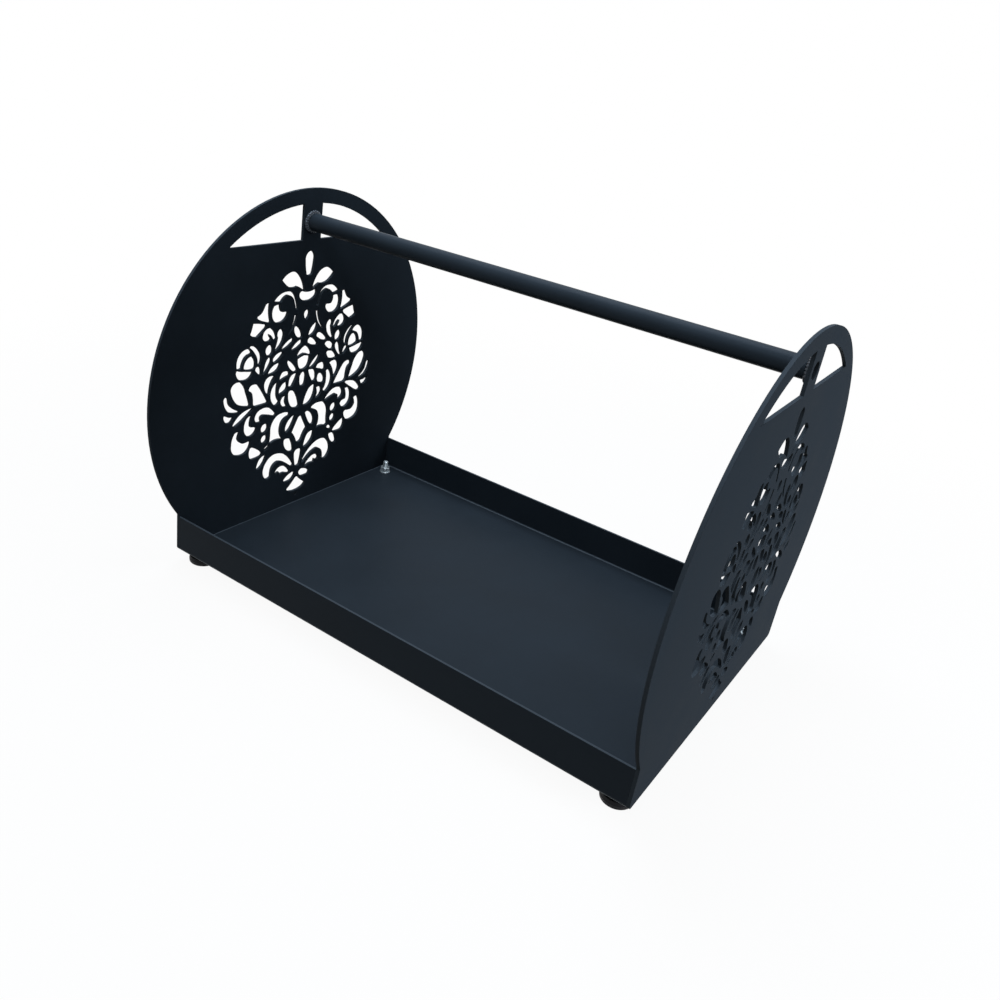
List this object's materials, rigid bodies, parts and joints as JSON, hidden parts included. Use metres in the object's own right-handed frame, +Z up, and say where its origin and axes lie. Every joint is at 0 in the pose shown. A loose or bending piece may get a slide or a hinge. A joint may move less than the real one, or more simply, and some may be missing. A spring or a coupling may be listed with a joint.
{
  "type": "log cradle",
  "caption": "Sheet-steel log cradle: round side panels with a cut-out floral medallion, a shallow tray between them, a tube carry handle and screw-in levelling feet.",
  "frame": {"origin": "on the ground under the middle of the tray", "axes": "+X along the tray, +Y towards the back, +Z up"},
  "size_m": [0.5, 0.3858, 0.3536],
  "materials": {
    "panel_coat": "satin black powder coat",
    "tray_coat": "satin black powder coat",
    "handle_coat": "satin black powder coat",
    "zinc": "bright zinc plate",
    "foot_plastic": "moulded black plastic"
  },
  "bodies": {
    "cradle": {"left_side_panel": "panel_coat", "right_side_panel": "panel_coat", "log_tray": "tray_coat", "carry_handle": "handle_coat", "left_handle_weld": "handle_coat", "right_handle_weld": "handle_coat", "front_left_washer": "zinc", "front_left_lock_nut": "zinc", "front_right_washer": "zinc", "front_right_lock_nut": "zinc", "back_left_washer": "zinc", "back_left_lock_nut": "zinc", "back_right_washer": "zinc", "back_right_lock_nut": "zinc"},
    "front_left_pad": {"front_left_foot_pad": "foot_plastic"},
    "front_left_stud": {"front_left_foot_stud": "zinc"},
    "front_right_pad": {"front_right_foot_pad": "foot_plastic"},
    "front_right_stud": {"front_right_foot_stud": "zinc"},
    "back_left_pad": {"back_left_foot_pad": "foot_plastic"},
    "back_left_stud": {"back_left_foot_stud": "zinc"},
    "back_right_pad": {"back_right_foot_pad": "foot_plastic"},
    "back_right_stud": {"back_right_foot_stud": "zinc"}
  },
  "joints": [
    {"name": "front_left_height", "type": "slide", "parent": "cradle", "child": "front_left_pad", "axis": [0, 0, -1], "range_m": [0, 0.007]},
    {"name": "front_left_turn", "type": "hinge", "parent": "front_left_pad", "child": "front_left_stud", "pos_m": [-0.233, -0.1402, 0.0077], "axis": [0, 0, -1], "range_deg": [0, 2520]},
    {"name": "front_right_height", "type": "slide", "parent": "cradle", "child": "front_right_pad", "axis": [0, 0, -1], "range_m": [0, 0.007]},
    {"name": "front_right_turn", "type": "hinge", "parent": "front_right_pad", "child": "front_right_stud", "pos_m": [0.233, -0.1402, 0.0077], "axis": [0, 0, -1], "range_deg": [0, 2520]},
    {"name": "back_left_height", "type": "slide", "parent": "cradle", "child": "back_left_pad", "axis": [0, 0, -1], "range_m": [0, 0.007]},
    {"name": "back_left_turn", "type": "hinge", "parent": "back_left_pad", "child": "back_left_stud", "pos_m": [-0.233, 0.1402, 0.0077], "axis": [0, 0, -1], "range_deg": [0, 2520]},
    {"name": "back_right_height", "type": "slide", "parent": "cradle", "child": "back_right_pad", "axis": [0, 0, -1], "range_m": [0, 0.007]},
    {"name": "back_right_turn", "type": "hinge", "parent": "back_right_pad", "child": "back_right_stud", "pos_m": [0.233, 0.1402, 0.0077], "axis": [0, 0, -1], "range_deg": [0, 2520]}
  ],
  "couplings": [
    {"joint": "front_left_turn", "follows": "front_left_height", "rad_per_m": 6283.2},
    {"joint": "front_right_turn", "follows": "front_right_height", "rad_per_m": 6283.2},
    {"joint": "back_left_turn", "follows": "back_left_height", "rad_per_m": 6283.2},
    {"joint": "back_right_turn", "follows": "back_right_height", "rad_per_m": 6283.2}
  ]
}
